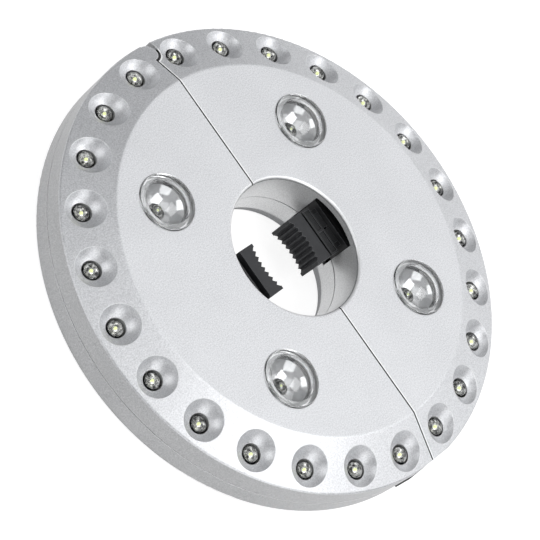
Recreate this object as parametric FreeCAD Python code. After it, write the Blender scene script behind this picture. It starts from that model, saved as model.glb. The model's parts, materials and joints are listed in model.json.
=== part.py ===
import FreeCAD, Part
import math
import os
from FreeCAD import Vector

# Battery light that clips round a parasol pole, in millimetres.
# The origin is the middle of the pole passage on the back face. +Z points out of the lamp side,
# X is the way the clamping jaws slide, and the two halves meet at x = 0.
# The hinge is at +Y and the latch at -Y. The left half is at -X and the right half at +X.

# ---- casing
outer_radius = 100.0
bore_radius = 29.2
plateau_height = 32.5
ring_width = 20.5
rim_height = 25.2
parting_height = 15.0
parting_gap = 0.45
wall = 2.0
seam_gap = 0.6
back_bevel_width = 16.0
back_edge_height = 5.2
bore_flare = 1.3
bore_flare_height = 4.9
lip_rounding = 1.3
plateau_rounding = 2.6
rim_rounding = 0.9
back_rounding = 1.8
lap_height = 1.2
lap_clearance = 0.15
bore_mouth = bore_radius + bore_flare
plateau_radius = outer_radius - ring_width
back_flat_radius = outer_radius - back_bevel_width
cone_tilt = math.atan2(plateau_height - rim_height, outer_radius - plateau_radius)
front_bottom = parting_height + parting_gap / 2
back_top = parting_height - parting_gap / 2
seam_inner = seam_gap / 2 + wall
plate_underside = plateau_height - wall

# ---- ring of small lamps in dished pockets
ring_led_count = 24
ring_led_inset = 9.5
ring_led_radius = outer_radius - ring_led_inset
latch_angle = -90.0
pocket_radius = 8.1
pocket_depth = 3.5
pocket_wall = 1.5
led_hole_radius = 4.0
led_radius = 3.55
led_flange = 0.4
led_flange_height = 1.0
led_top = 26.3

# ---- four domed lamps
dome_offset = 41.0
dome_hole_radius = 12.15
lens_clearance = 0.15
lens_step = 0.8
lens_dome_radius = 9.7
lens_dome_height = 4.1
lens_wall = 1.3
lens_rounding = 0.5
lens_flange_radius = 14.0
lens_flange_height = 1.1
reflector_wall = 1.2
reflector_throat_height = 2.3
bowl_radius = 12.5
dome_led_radius = 2.9
dome_led_top = 25.6
throat_clearance = 0.3
lamp_rounding = 0.8
reflector_throat = dome_led_radius + led_flange + throat_clearance

# ---- cells, their boxes and doors
cell_radius = 7.25
cell_length = 49.2
cell_nub_radius = 2.75
cell_nub_height = 1.3
cell_pitch = 14.8
cell_clearance = 0.3
box_wall = 1.5
box_guide_gap = 0.3
cell_spring_length = 4.9
door_thickness = 2.0
door_inset = 0.2
door_clearance = 0.3
door_roof_gap = 0.2
door_margin = 1.2
door_knuckle_radius = 1.9
door_pin_radius = 1.0
door_pin_length = 1.4
door_pin_end_gap = 0.1
door_notch = 3.6
door_axis_y = 32.5
door_rim_gap = 1.0
door_rim = back_flat_radius - door_rim_gap
grip_radius = 9.0
grip_reach = 3.0
grip_depth = 0.8
contact_thickness = 0.4
contact_dimple = 0.8
cell_spring_wire = 0.35
cell_spring_turns = 3
ledge_top = 4.2

# ---- jaws, their guides and springs
jaw_face = 11.3
jaw_half_width = 10.7
jaw_bottom = 12.0
jaw_top = 24.5
jaw_sagitta = 1.5
jaw_land = 1.45
tooth_count = 8
tooth_depth = 1.3
pad_back = 19.0
carrier_front = 21.0
carrier_back = 25.3
carrier_top = 23.4
neck_half_width = 8.2
neck_bottom = 13.5
neck_top = 20.0
carrier_border = 0.7
carrier_pocket_depth = 0.8
hood_half_width = 7.0
hood_gap = 0.3
hood_back = 28.6
hood_bottom = 21.6
hood_top = 22.6
flange_back = 31.8
flange_half_width = 13.5
flange_thickness = 2.5
leg_inner = 4.0
leg_outer = 9.0
leg_bottom = 14.6
leg_top = 21.9
jaw_travel = 11.5
slot_half_width = 11.7
slot_bottom = 9.0
slot_top = 29.0
guide_clearance = 0.3
guide_wall = 1.6
jaw_spring_radius = 2.8
jaw_spring_wire = 0.4
jaw_spring_turns = 6
guide_foot_half_length = 5.0
ear_half_width = 4.0
spring_post_length = 4.5
ear_half_length = 23.0
ear_thickness = 2.0
ear_bottom = 6.0

# ---- board and screws
board_thickness = 1.6
board_bore_gap = 1.8
board_rim_gap = 1.5
board_inner_radius = bore_radius + wall + board_bore_gap
board_outer_radius = outer_radius - wall - board_rim_gap
board_end_cut = 2.6
board_clearance = 0.6
screw_shank_radius = 1.4
screw_head_radius = 2.6
screw_head_height = 2.1
screw_head_inset = 0.9
screw_length = 19.0
screw_clearance = 0.2
post_radius = 4.0
boss_radius = 3.2
boss_shoulder = 4.4
cross_length = 3.0
cross_reach = 0.7
cross_width = 0.7
cross_depth = 1.0
cover_screws = [(12.0, 62.0), (12.0, -62.0), (60.0, 48.0), (60.0, -48.0)]
small_screw_radius = 1.2
small_head_radius = 2.1
small_head_height = 1.5
small_screw_length = 5.0
small_post_radius = 3.35
guide_screw_x = 37.5
guide_screw_y = 20.3

# ---- hinge
hinge_inset = 4.3
hinge_y = outer_radius - hinge_inset
knuckle_radius = 3.8
recess_radius = 4.85
hinge_pin_radius = 1.25
pin_clearance = 0.05
hinge_rim_cut = 5.3
lower_knuckle_top = 6.6
middle_knuckle_bottom = 6.9
middle_knuckle_top = 14.85
hinge_pin_bottom = 3.6
hinge_pin_top = 23.0

# ---- latch
latch_flat_depth = 0.65
button_recess = 0.25
latch_flat = outer_radius - latch_flat_depth
button_face = outer_radius - button_recess
button_left = 13.0
button_right = 2.9
button_bottom = 12.8
button_top = 22.2
button_clearance = 0.3
button_flange = 1.2
button_flange_inset = 1.8
button_flange_back = outer_radius - wall - button_flange_inset
button_flange_gap = 0.6
button_flange_step = 0.2
button_nose_width = 3.0
button_nose_inset = 0.5
button_finger_gap = 0.3
finger_thickness = 1.6
finger_inset = 4.9
finger_front = outer_radius - wall - finger_inset
finger_bottom = 6.8
finger_top = 17.0
finger_tip = 13.0
finger_root = 14.0
finger_screw_x = 9.0
finger_screw_z = 12.0
finger_post_depth = 3.0
barb_top = 11.2
barb_reach = 2.5
barb_root = 0.5
barb_flat = 1.2
barb_inset = 1.0
window_gap = 0.6
window_barb_room = 1.5
catch_rib_inset = 3.8
catch_rib_tip = outer_radius - wall - catch_rib_inset
catch_rib_start = 3.6
catch_rib_thickness = 2.0

# ---- power switch
power_angle = -30.0
power_height = 10.7
power_radius = 3.6
power_proud = 0.8
power_flange = 0.6
power_flange_thickness = 1.2
power_clearance = 0.25
power_travel = 0.8
switch_size = 6.0
switch_depth = 4.0
switch_gap = 0.1
switch_tip_radius = 1.2
switch_tip_length = 0.8
switch_bracket = 1.6
switch_bracket_margin = 2.0

# ---- hanging hooks
hook_left = 22.6
hook_right = 33.4
hook_arm = 2.5
hook_thickness = 3.0
hook_barrel_radius = 2.3
hook_axis_y = 69.0
hook_axis_z = 2.8
hook_bow_y = 45.4
hook_tip_y = 56.0
hook_pin_radius = 1.2
hook_side_clearance = 0.6
hook_recess_low = 38.0
hook_recess_high = 72.0
hook_recess_height = 6.0
hook_recess_wall = 1.5

# ---- shared
far = 2 * outer_radius
bite = 1.0


def box(x0, x1, y0, y1, z0, z1):
    """A box from its low and high corners."""
    return Part.makeBox(x1 - x0, y1 - y0, z1 - z0, Vector(x0, y0, z0))


def rod(x, y, z, radius, length, direction=Vector(0, 0, 1)):
    """A cylinder that starts at a point and runs along a direction."""
    return Part.makeCylinder(radius, length, Vector(x, y, z), direction)


def ball(x, y, z, radius):
    """A sphere round a point."""
    return Part.makeSphere(radius, Vector(x, y, z))


def wire(corners, place):
    """A closed wire through corners (u, v) or (u, v, rounding)."""
    count = len(corners)
    points = [Vector(corner[0], corner[1], 0) for corner in corners]
    rounds = [corner[2] if len(corner) > 2 else 0.0 for corner in corners]
    turns = []
    for i in range(count):
        back = (points[i - 1] - points[i]).normalize()
        ahead = (points[(i + 1) % count] - points[i]).normalize()
        half = back.getAngle(ahead) / 2
        reach = rounds[i] / math.tan(half)
        inset = rounds[i] / math.sin(half) - rounds[i]
        middle = points[i] + (back + ahead).normalize() * inset if rounds[i] else points[i]
        turns.append((points[i] + back * reach, middle, points[i] + ahead * reach))
    edges = []
    for i in range(count):
        start, middle, end = [place(point.x, point.y) for point in turns[i]]
        if rounds[i]:
            edges.append(Part.Arc(start, middle, end).toShape())
        next_start = place(turns[(i + 1) % count][0].x, turns[(i + 1) % count][0].y)
        edges.append(Part.LineSegment(end, next_start).toShape())
    return Part.Wire(edges)


def turned(corners, x=0.0, y=0.0):
    """A solid of revolution about a vertical axis from corners (radius, height)."""
    face = Part.Face(wire(corners, lambda u, v: Vector(u, 0, v)))
    solid = face.revolve(Vector(0, 0, 0), Vector(0, 0, 1), 360)
    solid.translate(Vector(x, y, 0))
    return solid


def prism(corners, z0, z1):
    """A flat outline in X and Y, raised from z0 to z1."""
    face = Part.Face(wire(corners, lambda u, v: Vector(u, v, z0)))
    return face.extrude(Vector(0, 0, z1 - z0))


def joined(shapes):
    """One solid from overlapping shapes."""
    return shapes[0].multiFuse(shapes[1:]).removeSplitter()


def half_turn(shape):
    """The same shape, turned by half a turn about the pole's axis."""
    copy = shape.copy()
    copy.rotate(Vector(0, 0, 0), Vector(0, 0, 1), 180)
    return copy


def screw(x, y, z, head_radius, head_height, shank_radius, length, upward):
    """A cross-head screw whose head starts at z and whose shank runs up or down."""
    way = 1 if upward else -1
    head = rod(x, y, z, head_radius, head_height, Vector(0, 0, way))
    shank = rod(x, y, z + way * head_height, shank_radius, length, Vector(0, 0, way))
    body = joined([head, shank])
    low = min(z, z + way * cross_depth)
    high = max(z, z + way * cross_depth)
    arm = min(cross_length / 2, cross_reach * head_radius)
    across = cross_width / 2
    body = body.cut(box(x - arm, x + arm, y - across, y + across, low, high))
    return body.cut(box(x - across, x + across, y - arm, y + arm, low, high))


def biarc(p0, t0, p1, t1):
    """Two arcs that leave p0 along t0 and reach p1 along t1."""
    span = p1 - p0
    both = t0 + t1
    bend = 2 * (1 - t0.dot(t1))
    reach = (math.sqrt(span.dot(both) ** 2 + bend * span.dot(span)) - span.dot(both)) / bend
    q0 = p0 + t0 * reach
    q1 = p1 - t1 * reach
    join = (q0 + q1) / 2
    arcs = []
    for start, corner, end in [(p0, q0, join), (join, q1, p1)]:
        chord = (start + end) / 2
        cosine = (chord - start).Length / reach
        arcs.append(Part.Arc(start, corner + (chord - corner) / (1 + cosine), end).toShape())
    return arcs


def coil(start, along, side, radius, wire_radius, turns, length):
    """A helical spring from start, with its first point on the given side."""
    up = Vector(along)
    out = Vector(side)
    across = up.cross(out)
    height = length - 2 * wire_radius
    quarters = 4 * turns
    climb = height / quarters
    pitch_rise = climb / (math.pi / 2)

    def point(k):
        angle = k * math.pi / 2
        return start + up * (wire_radius + k * climb) + out * (radius * math.cos(angle)) + across * (
            radius * math.sin(angle))

    def tangent(k):
        angle = k * math.pi / 2
        way = across * (radius * math.cos(angle)) - out * (radius * math.sin(angle)) + up * pitch_rise
        return way.normalize()

    edges = []
    for k in range(quarters):
        edges.extend(biarc(point(k), tangent(k), point(k + 1), tangent(k + 1)))
    section = Part.Wire([Part.Circle(point(0), tangent(0), wire_radius).toShape()])
    print("coil of", turns, "turns, least gap between turns", round(4 * climb - 2 * wire_radius, 2))
    return Part.Wire(edges).makePipeShell([section], True, False)


def cone_height(radius):
    """Height of the sloping ring's outer face."""
    return rim_height + (outer_radius - radius) * math.tan(cone_tilt)


def back_height(radius):
    """Height of the sloping outer part of the back face."""
    return (radius - back_flat_radius) * back_edge_height / (outer_radius - back_flat_radius)


def right_side(start):
    """Everything with x above start."""
    return box(start, far, -far, far, -far, far)


def ring_angles():
    """Directions of the ring lamps on the right half, in degrees."""
    pitch = 360.0 / ring_led_count
    return [latch_angle + pitch * (i + 0.5) for i in range(ring_led_count // 2)]


def polar(radius, degrees):
    """X and Y of a point at a radius and direction."""
    return radius * math.cos(math.radians(degrees)), radius * math.sin(math.radians(degrees))


def pocket_ball(degrees, growth):
    """The ball whose surface is the dish of one pocket, grown by some thickness."""
    rise = (pocket_radius ** 2 - led_hole_radius ** 2 - pocket_depth ** 2) / (2 * pocket_depth)
    radius = math.hypot(pocket_radius, rise)
    reach = ring_led_radius + rise * math.sin(cone_tilt)
    height = cone_height(ring_led_radius) + rise * math.cos(cone_tilt)
    x, y = polar(reach, degrees)
    return ball(x, y, height, radius + growth)


def dome_places():
    """Middles of the two domed lamps of the right half."""
    return [(dome_offset, dome_offset), (dome_offset, -dome_offset)]


# ---- heights and places that follow from the values above
jaw_middle = (jaw_bottom + jaw_top) / 2
flange_front = flange_back - flange_thickness
guide_back = flange_back + jaw_travel + guide_clearance
guide_half_width = flange_half_width + guide_clearance
guide_low = jaw_bottom - guide_clearance
guide_high = jaw_top + guide_clearance
door_top = door_inset + door_thickness
cell_z = door_top + 2 * cell_clearance + cell_radius
box_top = cell_z + cell_radius + cell_clearance
board_bottom = box_top + box_wall
board_top = board_bottom + board_thickness
box_start = guide_back + guide_wall + box_guide_gap
box_inner_x = box_start + box_wall
cell_x = [box_inner_x + cell_clearance + cell_radius + cell_pitch * i for i in range(2)]
box_inner_end = cell_x[1] + cell_radius + cell_clearance
box_end = box_inner_end + box_wall
cell_stack = cell_length + cell_nub_height + contact_dimple + cell_spring_length
contact_face = cell_stack / 2
box_half_length = contact_face + contact_thickness
cell_nub_end = contact_face - contact_dimple
cell_shoulder = cell_nub_end - cell_nub_height
cell_flat_end = cell_shoulder - cell_length
door_x0 = box_inner_x - door_margin
door_x1 = box_inner_end + door_margin
door_axis_z = door_inset + door_knuckle_radius


def front_outside():
    """The full outside of the lamp-side cover."""
    return turned([
        (bore_radius, front_bottom),
        (bore_radius, plateau_height, lip_rounding),
        (plateau_radius, plateau_height, plateau_rounding),
        (outer_radius, rim_height, rim_rounding),
        (outer_radius, front_bottom)])


def front_cavity():
    """The hollow of the lamp-side cover, with room for the lap of the back cover."""
    inner_bore = bore_radius + wall
    inner_rim = outer_radius - wall
    lap_top = front_bottom + lap_height
    slope_drop = wall / math.cos(cone_tilt)
    corner = outer_radius - (plate_underside + slope_drop - rim_height) / math.tan(cone_tilt)
    below = front_bottom - wall
    return turned([
        (inner_bore - wall / 2 - lap_clearance, below),
        (inner_bore - wall / 2 - lap_clearance, lap_top),
        (inner_bore, lap_top),
        (inner_bore, plate_underside),
        (corner, plate_underside),
        (inner_rim, cone_height(inner_rim) - slope_drop),
        (inner_rim, lap_top),
        (inner_rim + wall / 2 + lap_clearance, lap_top),
        (inner_rim + wall / 2 + lap_clearance, below)])


def back_outside():
    """The full outside of the back cover, with its lap that reaches into the front cover."""
    lap = back_top + lap_height
    return turned([
        (bore_mouth, 0.0, lip_rounding / 2),
        (bore_radius, bore_flare_height),
        (bore_radius, back_top),
        (bore_radius + wall / 2, back_top),
        (bore_radius + wall / 2, lap),
        (outer_radius - wall / 2, lap),
        (outer_radius - wall / 2, back_top),
        (outer_radius, back_top),
        (outer_radius, back_edge_height, back_rounding),
        (back_flat_radius, 0.0, lip_rounding)])


def back_cavity():
    """The hollow of the back cover."""
    inner_rim = outer_radius - wall
    floor = wall / math.cos(math.atan2(back_edge_height, outer_radius - back_flat_radius))
    above = back_top + wall + lap_height
    return turned([
        (bore_mouth + wall, wall),
        (bore_radius + wall, bore_flare_height + wall),
        (bore_radius + wall, above),
        (inner_rim, above),
        (inner_rim, back_height(inner_rim) + floor),
        (back_flat_radius, wall)])


def jaw_slot():
    """The opening in the bore wall that a jaw passes through."""
    depth = bore_radius + 2 * wall
    return box(0, depth, -slot_half_width, slot_half_width, slot_bottom, slot_top)


def front_cover(lining):
    """Right half of the lamp-side cover with its hinge lining, before the hinge and latch are cut."""
    cavity = front_cavity().common(right_side(seam_inner))
    outside = front_outside().common(right_side(seam_gap / 2))
    dishes = [pocket_ball(angle, 0) for angle in ring_angles()]
    backs = [pocket_ball(angle, pocket_wall) for angle in ring_angles()]
    cavity = cavity.cut(backs)
    shell = outside.cut(cavity)
    holes = []
    for angle in ring_angles():
        x, y = polar(ring_led_radius, angle)
        holes.append(rod(x, y, board_top, led_hole_radius, plateau_height - board_top))
    for x, y in dome_places():
        holes.append(rod(x, y, plate_underside - wall, dome_hole_radius, 2 * wall + lens_step))
    bosses = []
    for x, y in cover_screws:
        bosses.append(rod(x, y, front_bottom, boss_radius, plate_underside + wall / 2 - front_bottom))
        bosses.append(rod(x, y, board_top, boss_shoulder, plate_underside + wall / 2 - board_top))
        tip = screw_head_inset + screw_head_height + screw_length + lap_height
        holes.append(rod(x, y, 0, screw_shank_radius + pin_clearance, tip))
    shell = shell.fuse(lining).cut(dishes)
    return shell.fuse(bosses).cut(holes + [jaw_slot()]).removeSplitter()


def door_pocket():
    """The recess for a battery door and its knuckle."""
    x0 = door_x0 - door_clearance
    x1 = door_x1 + door_clearance
    plate = box(x0, x1, -door_axis_y, door_axis_y, -wall, door_top + door_roof_gap)
    knuckle_room = door_knuckle_radius + 2 * door_clearance
    knuckle = box(x0, x1, door_axis_y - knuckle_room, door_axis_y + knuckle_room, -wall,
                  door_axis_z + knuckle_room - door_clearance)
    return joined([plate, knuckle]).common(rod(0, 0, -wall, door_rim + door_clearance, far))


def battery_box():
    """Walls and roof round the two cells."""
    outer_end = box_half_length + box_wall
    walls = box(box_start, box_end, -outer_end, outer_end, wall / 2, board_bottom)
    x0 = door_x0 - 2 * box_wall
    x1 = door_x1 + 2 * box_wall
    knuckle_end = door_axis_y + door_knuckle_radius + 2 * door_clearance + box_wall
    hood_top = door_axis_z + door_knuckle_radius + door_clearance + box_wall
    frame = box(x0, x1, -door_axis_y - box_wall, knuckle_end, wall / 2, ledge_top)
    hood = box(x0, x1, door_axis_y - 2 * box_wall, knuckle_end, wall / 2, hood_top)
    inside = rod(0, 0, 0, outer_radius - wall / 2, far)
    return [walls, frame.common(inside), hood.common(inside)]


def battery_space():
    """The hollow for the two cells, open at the back."""
    return box(box_inner_x, box_inner_end, -box_half_length, box_half_length, -wall, box_top)


def door_pin_holes():
    """Sockets for the door's two trunnions."""
    length = door_x1 - door_x0 + 2 * (door_clearance + door_pin_length)
    start = door_x0 - door_clearance - door_pin_length
    radius = door_pin_radius + pin_clearance
    return rod(start, door_axis_y, door_axis_z, radius, length, Vector(1, 0, 0))


def hook_recess():
    """The recess that a hanging hook folds into."""
    return box(hook_left - hook_side_clearance, hook_right + hook_side_clearance, hook_recess_low,
               hook_recess_high, -wall, hook_recess_height)


def hook_walls():
    """Walls round the hook recess."""
    side = hook_side_clearance + hook_recess_wall
    return box(hook_left - side, hook_right + side, hook_recess_low - hook_recess_wall,
               hook_recess_high + hook_recess_wall, wall / 2, hook_recess_height + hook_recess_wall)


def hook_pin(radius):
    """The hook's hinge pin, or its hole."""
    start = hook_left - hook_side_clearance - hook_recess_wall
    length = hook_right - hook_left + 2 * (hook_side_clearance + hook_recess_wall)
    return rod(start, hook_axis_y, hook_axis_z, radius, length, Vector(1, 0, 0))


def back_cover():
    """Right half of the back cover, before the hinge, latch and switch are cut."""
    cavity = back_cavity().common(right_side(seam_inner))
    shell = back_outside().common(right_side(seam_gap / 2)).cut(cavity)
    shell = shell.cut(box(0, seam_inner + lap_clearance, -far, far, back_top, far))
    solids = battery_box() + [hook_walls()]
    holes = [battery_space(), door_pocket(), door_pin_holes(), hook_recess(), jaw_slot()]
    holes.append(hook_pin(hook_pin_radius + pin_clearance))
    seat = screw_head_inset + screw_head_height
    for x, y in cover_screws:
        solids.append(rod(x, y, wall / 2, post_radius, back_top - wall / 2))
        holes.append(rod(x, y, -wall, screw_head_radius + screw_clearance, wall + seat))
        holes.append(rod(x, y, 0, screw_shank_radius + screw_clearance, front_bottom))
    for y in [-guide_screw_y, guide_screw_y]:
        solids.append(rod(guide_screw_x, y, wall / 2, small_post_radius, ear_bottom - wall / 2))
        holes.append(rod(guide_screw_x, y, wall, small_screw_radius + pin_clearance, ear_bottom))
    return shell.fuse(solids).cut(holes).removeSplitter()


def knuckle(z0, z1, radius=knuckle_radius):
    """A disc round the hinge axis."""
    return rod(0, hinge_y, z0, radius, z1 - z0)


def lap_room():
    """Room in the back cover's lap for the front cover's hinge lining."""
    return knuckle(back_top, far, recess_radius + wall + lap_clearance)


def recess(z0, z1):
    """Room round the other half's knuckle, open to the rim."""
    corner = box(-hinge_rim_cut, hinge_rim_cut, hinge_y, far, z0, z1)
    return joined([knuckle(z0, z1, recess_radius), corner])


def hinge_hole():
    """The bore for the hinge pin."""
    return knuckle(hinge_pin_bottom, hinge_pin_top, hinge_pin_radius + pin_clearance)


def finger_screw_rod(start, length, clearance=0.0):
    """The shank of the finger's screw, or its hole, from a Y position."""
    radius = small_screw_radius + clearance
    return rod(finger_screw_x, start, finger_screw_z, radius, length, Vector(0, 1, 0))


def latch_window():
    """The opening through both seam walls for the snap finger."""
    return box(-seam_inner - wall, seam_inner + wall, -finger_front - barb_reach - window_barb_room,
               -finger_front + finger_thickness + window_gap, finger_bottom - window_gap,
               finger_top + window_gap)


def button_window():
    """The opening in the side wall for the release button."""
    return box(-button_left - button_clearance, -button_right + button_clearance, -far,
               -button_flange_back, button_bottom - button_clearance, button_top + button_clearance)


def latch_flat_cut():
    """The flat across the side wall at the latch."""
    return box(-far, far, -far, -latch_flat, 0, far)


def left_covers():
    """Left front and back covers, with the outer hinge knuckles and the latch button's window."""
    plug = knuckle(middle_knuckle_top + parting_gap, plateau_height, recess_radius + wall)
    plug = plug.common(front_outside()).common(box(-far, -seam_gap / 2, -far, far, -far, far))
    upper = knuckle(front_bottom, plateau_height).common(front_outside())
    front = joined([half_turn(front_cover(half_turn(plug))), upper])
    back = half_turn(back_cover())
    lower = knuckle(0, lower_knuckle_top).common(back_outside())
    base = knuckle(0, lower_knuckle_top, recess_radius + wall).common(back_outside())
    base = base.common(box(-far, -seam_gap / 2, -far, far, -far, far))
    back = joined([back.cut(lap_room()), lower, base])
    middle_room = knuckle(lower_knuckle_top, middle_knuckle_top + parting_gap, recess_radius)
    rib_x1 = -catch_rib_start
    rib = box(rib_x1 - catch_rib_thickness, rib_x1, -outer_radius + wall / 2, -catch_rib_tip,
              back_height(catch_rib_tip) + wall / 2, barb_top)
    back = back.fuse(rib.common(rod(0, 0, 0, outer_radius - wall / 2, far)))
    cuts = [middle_room, hinge_hole(), latch_window(), button_window(), latch_flat_cut()]
    return front.cut(cuts).removeSplitter(), back.cut(cuts).removeSplitter()


def power_way():
    """The outward direction of the power button."""
    x, y = polar(1.0, power_angle)
    return Vector(x, y, 0)


def power_rod(start, end, radius):
    """A cylinder along the power button's axis between two distances from the pole's axis."""
    way = power_way()
    return rod(start * way.x, start * way.y, power_height, radius, end - start, way)


def right_covers():
    """Right front and back covers, with the middle hinge knuckle and the switch's hole."""
    rim_cut = box(-hinge_rim_cut, hinge_rim_cut, hinge_y, far, -wall, far)
    lining = knuckle(front_bottom, plateau_height, recess_radius + wall).common(front_outside())
    front = front_cover(lining.common(right_side(seam_gap / 2))).cut([rim_cut])
    front = front.cut(recess(front_bottom - wall, plateau_height))
    back = back_cover()
    neck = knuckle(middle_knuckle_bottom, back_top, recess_radius + 2 * wall).common(back_outside())
    neck = neck.common(right_side(seam_gap / 2))
    back = joined([back, neck])
    back = back.cut([recess(-wall, middle_knuckle_bottom), lap_room()])
    back = back.cut(rim_cut)
    back = joined([back, knuckle(middle_knuckle_bottom, middle_knuckle_top)])
    post_front = -finger_front + finger_thickness
    reach = finger_root - finger_screw_x
    post = box(finger_screw_x - reach, finger_root, post_front, post_front + finger_post_depth,
               back_height(finger_front) + wall / 2, finger_top)
    back = back.fuse(post)
    cuts = [hinge_hole(), latch_window(), latch_flat_cut()]
    cuts.append(finger_screw_rod(post_front, finger_post_depth, pin_clearance))
    cuts.append(power_rod(outer_radius - 3 * wall, far, power_radius + power_clearance))
    return front.cut(cuts).removeSplitter(), back.cut(cuts).removeSplitter()


def lamp(place, top, radius):
    """One clear lamp that stands on the board, with a flange and a rounded end."""
    flange_top = board_top + led_flange_height
    return turned([
        (0, board_top),
        (radius + led_flange, board_top),
        (radius + led_flange, flange_top),
        (radius, flange_top),
        (radius, top, radius * lamp_rounding),
        (0, top)], place[0], place[1])


def lens(x, y):
    """A clear lens: a flange under the cover, a step in the hole and a dome."""
    body = dome_hole_radius - lens_clearance
    flange_top = plate_underside - lens_clearance / 2
    flange_bottom = flange_top - lens_flange_height
    step_top = plateau_height + lens_step
    shell = turned([
        (0, flange_bottom),
        (lens_flange_radius, flange_bottom),
        (lens_flange_radius, flange_top),
        (body, flange_top),
        (body, step_top, lens_rounding),
        (0, step_top)], x, y)
    dome_ball_radius = (lens_dome_radius ** 2 + lens_dome_height ** 2) / (2 * lens_dome_height)
    ball_z = step_top + lens_dome_height - dome_ball_radius
    dome = ball(x, y, ball_z, dome_ball_radius).common(rod(x, y, flange_top, lens_dome_radius, far))
    hollow = ball(x, y, ball_z, dome_ball_radius - lens_wall)
    hollow = hollow.common(rod(x, y, flange_bottom, lens_dome_radius - lens_wall / 2, far))
    return joined([shell, dome]).cut(hollow)


def reflector(x, y):
    """A round mirror bowl that stands on the board and holds the lens up against the cover."""
    top = plate_underside - lens_clearance - lens_flange_height
    middle = board_top + reflector_throat_height + bowl_radius
    height = top - board_top
    shell = ball(x, y, middle, bowl_radius + reflector_wall)
    shell = shell.common(rod(x, y, board_top, lens_flange_radius, height))
    tube = rod(x, y, board_top, reflector_throat + reflector_wall, reflector_throat_height)
    rim = rod(x, y, top - reflector_wall, lens_flange_radius, reflector_wall)
    hollow = [ball(x, y, middle, bowl_radius), rod(x, y, board_top, reflector_throat, height)]
    return joined([shell, tube, rim]).cut(hollow)


def board():
    """Right half of the lamp board."""
    plate = turned([
        (board_inner_radius, board_bottom),
        (board_outer_radius, board_bottom),
        (board_outer_radius, board_top),
        (board_inner_radius, board_top)])
    plate = plate.common(right_side(seam_inner + board_clearance))
    room = guide_half_width + guide_wall + board_clearance
    holes = [box(0, guide_back + guide_wall + board_clearance, -room, room, 0, far)]
    for x, y in cover_screws:
        holes.append(rod(x, y, 0, boss_radius + board_clearance, far))
    end = board_outer_radius - board_end_cut
    ends = [box(0, far, end, far, 0, far), box(0, far, -far, -end, 0, far)]
    hinge_room = knuckle(0, far, recess_radius + wall + board_clearance)
    return plate.cut(holes + ends + [hinge_room, half_turn(hinge_room)])


def cells():
    """Two AA cells, side by side and end for end."""
    solids = []
    for i in range(2):
        way = 1 - 2 * i
        can = rod(cell_x[i], way * cell_flat_end, cell_z, cell_radius, cell_length, Vector(0, way, 0))
        nub = rod(cell_x[i], way * cell_shoulder, cell_z, cell_nub_radius, cell_nub_height, Vector(0, way, 0))
        solids.append(joined([can, nub]))
    return solids


def contacts():
    """Contact plates at both ends of the battery box, dimpled where a cell's nub meets them."""
    half = cell_radius - box_wall
    y1 = box_half_length
    z0 = cell_z - half
    z1 = cell_z + half
    bridge = box(cell_x[0] - half, cell_x[1] + half, contact_face, y1, z0, z1)
    single = [box(x - half, x + half, -y1, -contact_face, z0, z1) for x in cell_x]
    depth = y1 - cell_nub_end
    dimples = []
    for i in range(2):
        way = 1 - 2 * i
        dimples.append(rod(cell_x[i], way * cell_nub_end, cell_z, cell_nub_radius, depth, Vector(0, way, 0)))
    return [joined([bridge, dimples[0]]), single[0], joined([single[1], dimples[1]])]


def cell_springs():
    """Contact springs between a plate and the flat end of each cell."""
    springs = []
    for i in range(2):
        way = 1 - 2 * i
        start = Vector(cell_x[i], -way * contact_face, cell_z)
        springs.append(coil(start, Vector(0, way, 0), Vector(1, 0, 0), cell_radius / 2, cell_spring_wire,
                            cell_spring_turns, cell_spring_length))
    return springs


def door_rod(x0, x1, radius):
    """A cylinder along the door's hinge axis."""
    return rod(x0, door_axis_y, door_axis_z, radius, x1 - x0, Vector(1, 0, 0))


def door():
    """A battery door with its barrel and trunnions, notched where it turns past the rim."""
    plate = box(door_x0, door_x1, -door_axis_y + door_clearance, door_axis_y, door_inset, door_top)
    plate = plate.common(rod(0, 0, -wall, door_rim, far))
    barrel_end = math.sqrt(door_rim ** 2 - (door_axis_y + door_knuckle_radius) ** 2)
    plate = plate.cut(box(barrel_end, far, door_axis_y - door_notch, far, -wall, far))
    pin_reach = door_pin_length + door_clearance - door_pin_end_gap
    barrel = door_rod(door_x0, barrel_end, door_knuckle_radius)
    pins = door_rod(door_x0 - pin_reach, door_x1 + pin_reach, door_pin_radius)
    grip = rod((door_x0 + door_x1) / 2, -door_axis_y - grip_reach, door_inset, grip_radius, grip_depth)
    return joined([plate, barrel, pins]).cut(grip)


def jaw_pad():
    """The right rubber pad: a hollow face cut by upright V-shaped grooves."""
    block = box(jaw_face, pad_back, -jaw_half_width, jaw_half_width, jaw_bottom, jaw_top)
    inner = jaw_half_width - jaw_land
    radius = (inner ** 2 + jaw_sagitta ** 2) / (2 * jaw_sagitta)
    hollow = rod(jaw_face + jaw_sagitta - radius, 0, jaw_bottom, radius, jaw_top - jaw_bottom)
    pitch = 2 * inner / tooth_count
    grooves = []
    for i in range(tooth_count):
        y = -inner + pitch * (i + 0.5)
        floor = jaw_face + jaw_sagitta - radius + math.sqrt(radius ** 2 - y ** 2) + tooth_depth
        slope = pitch / 2 * (floor / tooth_depth)
        open_x = floor - tooth_depth * slope / (pitch / 2)
        grooves.append(prism([(floor, y), (open_x, y + slope), (open_x, y - slope)], jaw_bottom, jaw_top)
                       .common(box(0, floor, y - pitch / 2, y + pitch / 2, jaw_bottom, jaw_top)))
    return block.cut([hollow] + grooves)


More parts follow.
